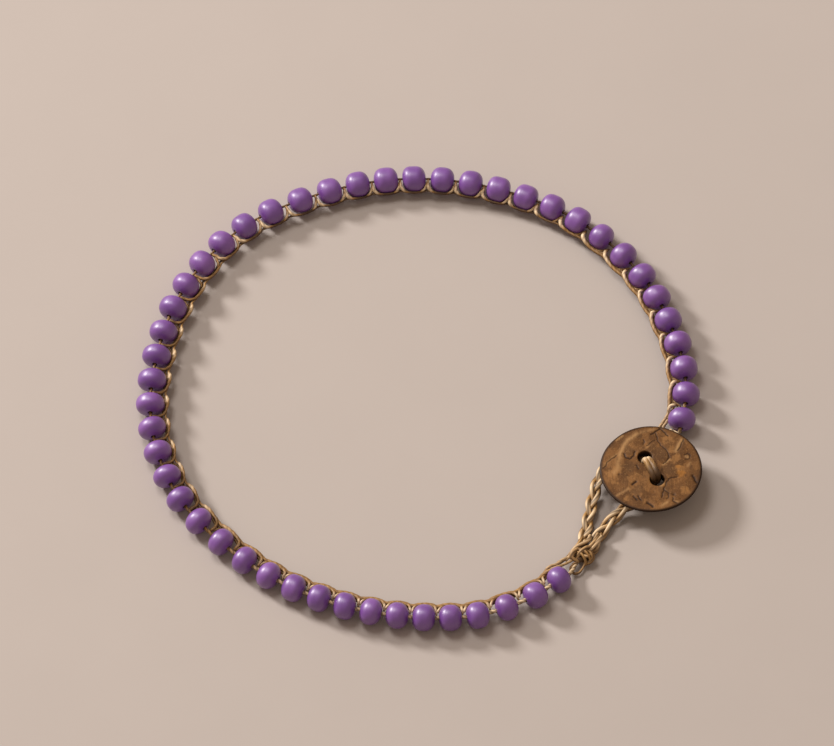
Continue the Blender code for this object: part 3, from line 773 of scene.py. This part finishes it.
def shell_material():
    """Polished coconut shell: a patchwork of brown tones crossed by fine grain, pale grain
    lines and warm zones with painted highlights among them, with dark cracks, pits and rim,
    and painted shade in the holes and underneath."""
    graph = Graph("coconut_shell", Specular_IOR_Level=0.15)
    spot = graph.place()
    clouds = graph.noise(spot, 330.0, detail=5.0, distortion=0.8)
    rough = graph.noise(spot, 900.0, detail=4.0, roughness=0.6)
    cells = graph.cells(graph.warp(graph.stretch(spot, (1.0, 0.7, 1.0)), 600.0, 0.0016), 520.0)
    grain = graph.noise(graph.stretch(spot, (1.0, 0.30, 1.0)), 3400.0, roughness=0.7)
    specks = graph.noise(spot, 5200.0, detail=2.0, roughness=0.6)

    def zone(name, strength):
        """An attribute's zones with crisp, ragged edges."""
        edge = graph.spread(rough, 0.30, 0.70, -0.26, 0.26)
        ragged = graph.combine("ADD", graph.reading(name), edge)
        return graph.spread(ragged, 0.34, 0.66, 0.0, strength)

    colour = graph.coats(
        (0.109, 0.044, 0.012),
        (graph.spread(clouds, 0.34, 0.66), (0.193, 0.084, 0.025)),
        (graph.spread(cells, 0.58, 0.66, 0.0, 0.30), (0.272, 0.126, 0.041)),
        (graph.spread(cells, 0.34, 0.26, 0.0, 0.40), (0.085, 0.036, 0.011)),
        (zone("tan", 0.65), (0.308, 0.144, 0.045)),
        (zone("dark", 0.66), (0.098, 0.045, 0.016)),
        (zone("warm", 0.45), (0.420, 0.165, 0.026)),
        # Pale grain lines, and the painted highlights among them.
        (graph.strongly("light", 0.78), (0.440, 0.245, 0.100)),
        (graph.spread(grain, 0.48, 0.70, 0.0, 0.50), (0.055, 0.023, 0.006)),
        (graph.spread(specks, 0.55, 0.70, 0.0, 0.45), (0.360, 0.185, 0.065)),
        (graph.reading("crack"), (0.024, 0.009, 0.003)),
        # The edge's darkening, and painted shade in the holes and underneath.
        (graph.reading("rim"), (0.020, 0.008, 0.003)),
    )
    dull = graph.spread(grain, 0.3, 0.7, 0.42, 0.58)
    graph.surface(Base_Color=colour, Roughness=dull, Normal=graph.bump(grain, 0.25, 0.00010))
    return graph.material


# Beads


def bead_profile(radius, pole, squareness):
    """Distance along and out from the bead's axis, from its middle to one end and back through
    the bore."""
    power, root = (plain + more * squareness for plain, more in OUTLINE_POWERS)
    last = math.acos((BEAD_BORE_RADIUS + BEAD_BRINK) / radius)
    half = []
    for angle in np.linspace(0.0, last, BEAD_OUTLINE_POINTS):
        out = radius * math.cos(angle)
        half.append((pole * (1 - (out / radius) ** root) ** (1 / power), out))
    end = half[-1][0]
    half += [(end + past, BEAD_BORE_RADIUS + out) for past, out in BORE_EDGE]
    half.append((0.0, BEAD_BORE_RADIUS))
    return half


def make_bead(number, material):
    """One drilled barrel bead, slightly uneven, in place of its solid."""
    radius, pole, squareness = along_string(BEAD_SHAPES, number - 1)
    squareness = np.clip(squareness + CHANCE.uniform(*SQUARE_SPREAD), 0.0, 1.2)
    own_radius = radius * (1 + CHANCE.uniform(*RADIUS_SPREAD))
    half = bead_profile(own_radius, pole * (1 + CHANCE.uniform(*LENGTH_SPREAD)), squareness)
    other = [(-along, out) for along, out in half]
    profile = np.array(other[:0:-1][1:] + half)
    angles = 2 * math.pi * np.arange(BEAD_SIDES) / BEAD_SIDES
    spot, direction = string_at(number - 1)
    side = raised(turned(direction, 90.0), 0.0)
    spot = spot * [1.0, 1.0, 0.0] + UP * radius
    phases = CHANCE.uniform(0, 2 * math.pi, 4)
    lean = CHANCE.uniform(*LEAN_SPREAD)
    points, mouths = [], []
    for along, out in profile:
        ripple = BEAD_RIPPLE * math.sin(RIPPLE_TURN * along + phases[1])
        oval = 1 + BEAD_OVAL * np.cos(2 * angles + phases[0]) + ripple
        reach = out * np.minimum(oval, 1.0)
        ahead = along + lean * out * np.cos(angles + phases[2])
        points.append(
            spot
            + np.outer(ahead, direction)
            + np.outer(reach * np.cos(angles), side)
            + np.outer(reach * np.sin(angles), UP)
        )
        mouth = np.interp(out, [BEAD_BORE_RADIUS, BEAD_BORE_RADIUS + MOUTH_FADE], [1.0, 0.0])
        mouths.append(np.full(BEAD_SIDES, mouth))
    rows = len(profile)
    faces = []
    for row in range(rows):
        here = row * BEAD_SIDES + np.arange(BEAD_SIDES)
        there = (row + 1) % rows * BEAD_SIDES + np.arange(BEAD_SIDES)
        faces += band(here, there).tolist()
    piece = finish_mesh(f"satin_bead_{number:02d}", np.concatenate(points), faces)
    give(piece, "mouth", np.concatenate(mouths))
    give(piece, "tone", np.full(rows * BEAD_SIDES, CHANCE.uniform(-1, 1)))
    belongs(piece, [f"bead_{number:02d}"], material)


# Cords of the string


def shank_side(distance, sideways, height):
    """A point between the button's shank and the first bead; sideways is towards the inside."""
    first = string_at(0)[0]
    way = unit(BUTTON_CENTRE - first[:2])
    inward = turned(way, -90.0)
    return raised(BUTTON_CENTRE - way * distance + inward * sideways, height)


def gap_rows(bead, column):
    """A stitch's rows, or a leg's, at the gap after a bead, with a little unevenness."""
    shares = [row[0] for row in STITCHES]
    place = bead / (BEAD_COUNT - 1)
    after = int(np.clip(np.searchsorted(shares, place), 1, len(shares) - 1))
    weight = np.clip((place - shares[after - 1]) / (shares[after] - shares[after - 1]), 0.0, 1.0)
    before, beyond = np.array(STITCHES[after - 1][column]), np.array(STITCHES[after][column])
    rows = []
    swell = CHANCE.uniform(*STITCH_SWELL)
    for along, inward, above, pale, radius in (1 - weight) * before + weight * beyond:
        shift = CHANCE.uniform(-STITCH_SHIFT, STITCH_SHIFT, 3)
        inward += abs(shift[1]) * STITCH_INWARD
        point = by_string(bead, along + shift[0], inward, above + shift[2])
        shade = CHANCE.uniform(-STITCH_SHADE, STITCH_SHADE)
        rows.append([*point, pale + shade, radius * swell])
    return rows


def backing_rows():
    """The cord behind the stitches, from the first bead to the last."""
    rows = []
    for half in range(2 * BEAD_COUNT - 1):
        inward, above = BACKING_IN_GAP if half % 2 else BACKING_AT_BEAD
        point = by_string(half / 2, 0.0, inward, above)
        rows.append([*point, *along_string(BACKING_LOOKS, half / 2)])
    return rows


def make_chain(material):
    """The crocheted chain: a long stitch and a short leg out of every gap, over the backing
    cord, and its ends at the shank and the knot."""
    yarn = Yarn()
    for gap in range(1, BEAD_COUNT):
        rows = gap_rows(gap - 0.5, 1)
        if gap in ROWS_BEFORE_SHANK:
            apart = FIRST_CORD_APART * (gap - 1)
            rows = rows[: ROWS_BEFORE_SHANK[gap]]
            rows += even_rows(np.array(FIRST_CORD) + apart, 0.3, FIRST_CORD_RADIUS)
            sideways = CORDS_SIDEWAYS * gap
            under = [shank_side(out, sideways, height) for out, height in CORDS_TO_SHANK]
            rows += even_rows(under, 0.0, FIRST_CORD_RADIUS)
        yarn.cord(rows, **CORD_LAY)
        yarn.cord(gap_rows(gap - 0.5, 2), **CORD_LAY)
    for points, pale, radius, after, first_row in LAST_CORDS:
        rows = even_rows(points, pale, radius) + gap_rows(BEAD_COUNT + after, 1)[first_row:]
        yarn.cord(rows, **CORD_LAY)
    yarn.cord(backing_rows(), **BACKING_LAY)
    yarn.piece("chain_stitches", ["crochet_chain"], material)


def make_thread(material):
    """The thread through the beads."""
    points = [shank_side(out, THREAD_SIDEWAYS, height) for out, height in THREAD_TO_SHANK]
    rows = even_rows(points + THREAD_TURN, THREAD_END_PALE, SHANK_THREAD_RADIUS)
    for bead in np.arange(-THREAD_STEP, BEAD_COUNT - 0.6, THREAD_STEP):
        rows.append([*string_at(bead)[0], *along_string(THREAD_LOOKS, bead)])
    rows += even_rows(THREAD_END, THREAD_END_PALE, KNOT_THREAD_RADIUS)
    yarn = Yarn()
    yarn.cord(rows, **THREAD_LAY)
    yarn.piece("waxed_thread", ["bead_thread"], material)


# Closure


def loop_line():
    """The loop's centre line."""
    reach = BUTTON_CENTRE - KNOT_CENTRE
    way = unit(reach)
    bowed = turned(way, 90.0) * LOOP_BOW
    level = [KNOT_CENTRE + reach * along + bowed * bow for along, bow in LOOP_ROUTE_OUT]
    for degrees in np.linspace(*LOOP_ARC, 6):
        level.append(BUTTON_CENTRE + turned(way, degrees) * LOOP_ARC_RADIUS)
    level += [KNOT_CENTRE + reach * along + bowed * bow for along, bow in LOOP_ROUTE_BACK]
    start, stop = LOOP_CLIMB
    points = [LOOP_ENDS[0]]
    for point in level:
        along = (point - KNOT_CENTRE) @ way / np.linalg.norm(reach)
        share = np.clip((along - start) / (stop - start), 0.0, 1.0)
        points.append(raised(point, LOOP_MIDDLE + LOOP_LIFT * share * share * (3 - 2 * share)))
    points.append(LOOP_ENDS[1])
    return smooth_path(points, PLAIT_LAY["step"])


def make_loop(material):
    """The plaited loop: three strands that cross over each other in turn."""
    line = loop_line()
    run = distances_along(line)
    ahead = np.gradient(line, axis=0)
    side = np.cross(UP, ahead)
    side /= np.linalg.norm(side, axis=1)[:, None]
    over = np.cross(ahead / np.linalg.norm(ahead, axis=1)[:, None], side)
    loose = np.minimum(run, PLAIT_LOOSE_LENGTH)
    turns = loose / PLAIT_LOOSE_PERIOD + (run - loose) / PLAIT_PERIOD
    gather = np.interp(np.minimum(run, run[-1] - run), *PLAIT_GATHER)
    yarn = Yarn()
    for number in range(3):
        phase = 2 * math.pi * (turns + number / 3)
        swing = (PLAIT_SWING * gather * np.sin(phase))[:, None]
        rise = (PLAIT_RISE * np.sin(2 * phase))[:, None]
        path = line + side * swing - over * rise
        # Painted highlight where a strand crosses over, painted shade where it passes under.
        crown = 0.30 - 0.60 * np.sin(2 * phase)
        rows = np.column_stack([path, crown, np.full(len(path), PLAIT_STRAND)])
        yarn.cord(rows, **PLAIT_LAY)
    # A dark core of painted shade inside the plait, seen between the strands.
    yarn.cord(even_rows(line - over * 0.08, -1.0, PLAIT_SHADE_CORE), **SHADE_CORE_LAY)
    yarn.piece("plaited_loop", ["button_loop"], material)


def make_knot(material):
    """The knot of crossing turns, and the ends that fan out of it."""
    yarn = Yarn()
    for points, pale, radius in KNOT_CORDS:
        yarn.cord(even_rows(points, pale, radius), **KNOT_LAY)
    yarn.piece("wound_knot", ["loop_knot"], material)


def hole_way():
    """The level direction from one hole to the other."""
    return turned(np.array([1.0, 0.0]), HOLE_BEARING)


def make_stitch(material):
    """The cord through the button: two strands side by side over the top."""
    way = raised(hole_way(), 0.0)
    across = np.cross(UP, way)
    middle = raised(BUTTON_CENTRE, 0.0)
    full = [(-along, height) for along, height in SEWN_LEG] + SEWN_LEG[-2::-1]
    yarn = Yarn()
    for side in (-1, 1):
        rows = []
        for along, height in full:
            lean = SEWN_LEAN * np.clip(along / SEWN_REACH, -1.0, 1.0) * side
            spot = middle + way * along + across * side * SEWN_APART + UP * (height + lean)
            on_top = height > BUTTON_TOP - 0.2
            # Painted highlight fading to painted shade along the top, and painted shade below it.
            pale = np.interp(along, *SEWN_PAINTED_LIGHT) if on_top else SEWN_PAINTED_SHADE_BELOW
            rows.append([*spot, pale, SEWN_STRAND])
        yarn.cord(rows, **SEWN_LAY)
    yarn.piece("sewn_cord", ["button_stitch"], material)


def to_polyline(spots, points):
    """The distance of each spot to a line of points."""
    points = np.asarray(points, dtype=float)
    nearest = np.full(len(spots), np.inf)
    for a, b in zip(points[:-1], points[1:]):
        along = np.clip((spots - a) @ (b - a) / ((b - a) @ (b - a)), 0.0, 1.0)
        away = np.linalg.norm(spots - (a + along[:, None] * (b - a)), axis=1)
        nearest = np.minimum(nearest, away)
    return nearest


def wavy(points, amount):
    """A line through the points with small kinks between them."""
    points = np.asarray(points, dtype=float)
    rows = [points[0]]
    for a, b in zip(points[:-1], points[1:]):
        across = np.array([a[1] - b[1], b[0] - a[0]])
        for share in (0.33, 0.66):
            rows.append(a + (b - a) * share + across * CHANCE.uniform(-amount, amount))
        rows.append(b)
    return np.array(rows)


def hole_spots():
    """The two holes' centres from the button's centre."""
    return [-hole_way() * HOLE_SPACING / 2, hole_way() * HOLE_SPACING / 2]


def away_from(spots, x, y):
    """The distance of each spot from a place."""
    return np.hypot(spots[:, 0] - x, spots[:, 1] - y)


def outside_holes(spots, margin):
    """The spots that are clear of both holes."""
    for x, y in hole_spots():
        spots = spots[away_from(spots, x, y) > HOLE_RADIUS + margin]
    return spots


def grid(reach, step):
    """Level points in rows and columns."""
    ticks = np.arange(-reach, reach, step)
    return np.stack(np.meshgrid(ticks, ticks), axis=2).reshape(-1, 2)


def disc_spots(radius, cracks):
    """Points over the button's face, closer together near its cracks and pits."""
    coarse = grid(radius, SHELL_GRID)
    coarse = coarse + CHANCE.uniform(-0.25, 0.25, coarse.shape) * SHELL_GRID
    fine = grid(radius, FINE_GRID)
    near = np.zeros(len(fine), dtype=bool)
    clear = np.ones(len(coarse), dtype=bool)
    for points, width, _ in cracks:
        near |= to_polyline(fine, points) < width * 1.7
        clear &= to_polyline(coarse, points) > width * 2.1
    for x, y, size, _ in PITS:
        near |= away_from(fine, x, y) < size * 1.3
        clear &= away_from(coarse, x, y) > size * 1.5
    spots = np.concatenate([coarse[clear], fine[near]])
    return outside_holes(spots[np.linalg.norm(spots, axis=1) < radius - 0.07], 0.20)


def circle(centre, radius, count):
    """Points round a circle."""
    angles = 2 * math.pi * np.arange(count) / count
    return np.column_stack([np.cos(angles), np.sin(angles)]) * radius + centre


def raised_ring(level, height):
    """Level points, all at one height."""
    return np.column_stack([level, np.full(len(level), height)])


def rim_wobble(count):
    """How far the button's edge departs from a circle, round it."""
    angles = 2 * math.pi * np.arange(count) / count
    return sum(size * np.cos(turns * angles + phase) for turns, size, phase in RIM_WAVES) - 0.01


def flat_faces(rim, holes, inner):
    """Triangles over the area inside the rim and outside the holes. The rim's points come
    first, then the holes', then the inner ones."""
    spots = np.concatenate([rim, *holes, inner])
    edges, start = [], 0
    for ring in (rim, *holes):
        count = len(ring)
        edges += [(start + k, start + (k + 1) % count) for k in range(count)]
        start += count
    made = delaunay_2d_cdt([Vector(spot) for spot in spots], edges, [], 0, 1e-6)
    corners = np.array([tuple(vertex) for vertex in made[0]])
    origin = [ids[0] for ids in made[3]]
    triangles = np.array(made[2])
    middles = corners[triangles].mean(axis=1)
    keep = np.ones(len(triangles), dtype=bool)
    for centre, ring in zip(hole_spots(), holes):
        keep &= away_from(middles, *centre) > np.linalg.norm(ring[0] - centre) * 0.9945
    return spots, np.array(origin)[triangles[keep]]


def fading(away, size, sharpness):
    """A mark that fades with distance."""
    return np.exp(-((away / size) ** 2) * sharpness)


def zone_marks(spots, zones):
    """How strongly each spot lies in the zones."""
    marks = np.zeros(len(spots))
    for x, y, size, strength in zones:
        marks = np.maximum(marks, strength * fading(away_from(spots, x, y), size, 0.9))
    return marks


def face_relief(spots, cracks):
    """The face's heights, and how cracked and how pale it is, at each spot."""
    start, length = CROWN_SPAN
    out = np.linalg.norm(spots, axis=1)
    heights = BUTTON_THICKNESS - CROWN_DROP * np.clip((out - start) / length, 0.0, 1.1) ** 2
    heights += 0.018 * np.sin(0.9 * spots[:, 0] + 0.4) * np.cos(0.8 * spots[:, 1] - 0.7)
    heights += 0.010 * np.sin(2.3 * spots[:, 0] - 1.1 * spots[:, 1])
    crack, light = np.zeros(len(spots)), np.zeros(len(spots))
    for points, width, depth in cracks:
        mark = fading(to_polyline(spots, points), width, 1.6)
        heights -= depth * mark
        crack = np.maximum(crack, mark * min(1.0, 0.62 + 5.0 * depth))
    for x, y, size, depth in PITS:
        mark = fading(away_from(spots, x, y), size, 2.2)
        heights -= depth * mark
        crack = np.maximum(crack, mark * min(1.0, 0.30 + 5.5 * depth))
    for points, width, strength in PALE_LINES:
        line = wavy(points, PALE_WAVER)
        light = np.maximum(light, fading(to_polyline(spots, line), width, 1.2) * strength)
    return heights + 0.022 * light, crack, light


def make_button(material):
    """The shell button: a gently crowned face with cracks and pits, an uneven, darkened rim and
    two holes with painted shade inside.
    """
    cracks = [
        (wavy(points, CRACK_WAVER), width * CRACK_WIDENING, depth)
        for points, width, depth in CRACKS
    ]
    wobble = rim_wobble(RIM_SEGMENTS)
    around = circle((0.0, 0.0), 1.0, RIM_SEGMENTS)
    face_radius = BUTTON_RADIUS - FACE_INSET
    rim = around * (face_radius + wobble)[:, None]
    holes = [circle(centre, HOLE_RADIUS + 0.13, HOLE_SEGMENTS) for centre in hole_spots()]
    spots, top = flat_faces(rim, holes, disc_spots(face_radius, cracks))
    heights, crack, light = face_relief(spots, cracks)
    points = [np.column_stack([spots, heights])]
    marks = {
        "crack": [crack],
        "light": [light],
        "warm": [zone_marks(spots, WARM_ZONES)],
        "tan": [zone_marks(spots, LIGHT_ZONES)],
        "dark": [zone_marks(spots, DARK_ZONES)],
        "rim": [np.clip((np.linalg.norm(spots, axis=1) - 6.98) / 0.20, 0, 1) ** 2 * 0.55],
    }
    faces = top.tolist()

    def add_points(block, shade):
        """New points, which only the rim's darkening marks (the edge's darkening, and painted
        shade in the holes and underneath); returns their numbers.
        """
        new = sum(len(other) for other in points) + np.arange(len(block))
        points.append(block)
        for key in marks:
            marks[key].append(np.full(len(block), shade if key == "rim" else 0.0))
        return new

    def add_rings(previous, rings, shades, flip):
        """Bands from a ring of points that is there through new rings; returns the last."""
        for ring, shade in zip(rings, shades):
            new = add_points(ring, shade)
            quads = band(previous, new)
            faces.extend((quads[:, ::-1] if flip else quads).tolist())
            previous = new
        return previous

    rings = [
        raised_ring(around * (BUTTON_RADIUS - inset + wobble)[:, None], height)
        for inset, height in BUTTON_EDGE
    ]
    shades = np.interp([height for _, height in BUTTON_EDGE], *RIM_SHADES)
    bottom_rim = add_rings(np.arange(RIM_SEGMENTS), rings, shades, False)
    bottom_holes = []
    for number, centre in enumerate(hole_spots()):
        walls = [
            raised_ring(circle(centre, HOLE_RADIUS + bevel, HOLE_SEGMENTS), height)
            for bevel, height, _ in HOLE_WALLS
        ]
        ring = RIM_SEGMENTS + number * HOLE_SEGMENTS + np.arange(HOLE_SEGMENTS)
        shades = [shade for _, _, shade in HOLE_WALLS]
        bottom_holes.append(add_rings(ring, walls, shades, True))
    joined = np.concatenate(points)
    inner = grid(BACK_GRID * 10, BACK_GRID)
    inner = outside_holes(inner[np.linalg.norm(inner, axis=1) < BUTTON_RADIUS - 1.9], 0.5)
    borders = [joined[ring][:, :2] for ring in (bottom_rim, *bottom_holes)]
    _, back = flat_faces(borders[0], borders[1:], inner)
    # The underside's points carry painted shade.
    ids = np.concatenate([bottom_rim, *bottom_holes, add_points(raised_ring(inner, 0.0), 0.4)])
    faces += ids[back][:, ::-1].tolist()

    joined = np.concatenate(points) + [*BUTTON_CENTRE, BUTTON_BASE]
    piece = finish_mesh("shell_button", joined, faces, smooth_degrees=55)
    for key, blocks in marks.items():
        give(piece, key, np.concatenate(blocks))
    belongs(piece, ["coconut_button"], material)


# Surroundings

# Lights: name, way towards it, distance, size and power
LIGHTS = [
    ("key", (-0.66, 0.45, 0.46), 1.20, 0.24, 15.4),
    ("softbox", (-0.32, 0.30, 0.90), 1.40, 0.60, 7.4),
]
LIGHT_COLOUR = (1.0, 0.985, 0.96)
FILL_COLOUR = (1.0, 0.83, 0.68)
FILL_STRENGTH = 0.43
FLOOR_SIZE = 3.0
FLOOR_COLOUR = (0.440, 0.382, 0.350)

CAMERA_ELEVATION = 57.0
CAMERA_TARGET = Vector((-0.000329, 0.005543, 0.0))
CAMERA_DISTANCE = 4.41
CAMERA_LENS = 1295.0


def make_floor():
    """A plain pale floor."""
    half = FLOOR_SIZE / 2
    corners = [(-half, -half, 0), (half, -half, 0), (half, half, 0), (-half, half, 0)]
    mesh = bpy.data.meshes.new("floor")
    mesh.from_pydata(corners, [], [(0, 1, 2, 3)])
    floor = placed("floor", mesh)
    graph = Graph("pale_floor", Roughness=0.9, Specular_IOR_Level=0.2)
    clouds = graph.noise(graph.place(), 60.0, detail=5.0)
    lighter = tuple(value * 1.05 for value in FLOOR_COLOUR)
    graph.surface(Base_Color=graph.coats(FLOOR_COLOUR, (clouds, lighter)))
    mesh.materials.append(graph.material)


def aim(item, way):
    """Turns a light or the camera so that it looks back along the way to it."""
    item.rotation_mode = "QUATERNION"
    item.rotation_quaternion = way.to_track_quat("Z", "Y")


def make_light():
    """Soft lights from the far left, and an even warm fill from all round."""
    for name, way, distance, size, power in LIGHTS:
        data = bpy.data.lights.new(name, "AREA")
        data.shape = "DISK"
        data.size = size
        data.energy = power
        data.color = LIGHT_COLOUR
        light = placed(name, data)
        way = Vector(way).normalized()
        light.location = way * distance
        aim(light, way)
    world = bpy.data.worlds.new("studio")
    world.use_nodes = True
    background = world.node_tree.nodes["Background"]
    background.inputs["Color"].default_value = (*FILL_COLOUR, 1.0)
    background.inputs["Strength"].default_value = FILL_STRENGTH
    bpy.context.scene.world = world


def make_camera():
    """A long lens that looks down on the ring."""
    data = bpy.data.cameras.new("camera")
    data.sensor_width = 36.0
    data.lens = CAMERA_LENS
    data.clip_end = 10.0
    camera = placed("camera", data)
    tilt = math.radians(CAMERA_ELEVATION)
    back = Vector((0.0, -math.cos(tilt), math.sin(tilt)))
    camera.location = CAMERA_TARGET + back * CAMERA_DISTANCE
    aim(camera, back)
    bpy.context.scene.camera = camera


def make_all():
    """Everything in the picture."""
    make_camera()
    make_light()
    make_floor()
    purple, tan, shell = bead_material(), cord_material(), shell_material()
    for number in range(1, BEAD_COUNT + 1):
        make_bead(number, purple)
    make_chain(tan)
    make_thread(tan)
    make_loop(tan)
    make_knot(tan)
    make_stitch(tan)
    make_button(shell)
    bpy.context.scene.view_settings.view_transform = "Standard"


make_all()
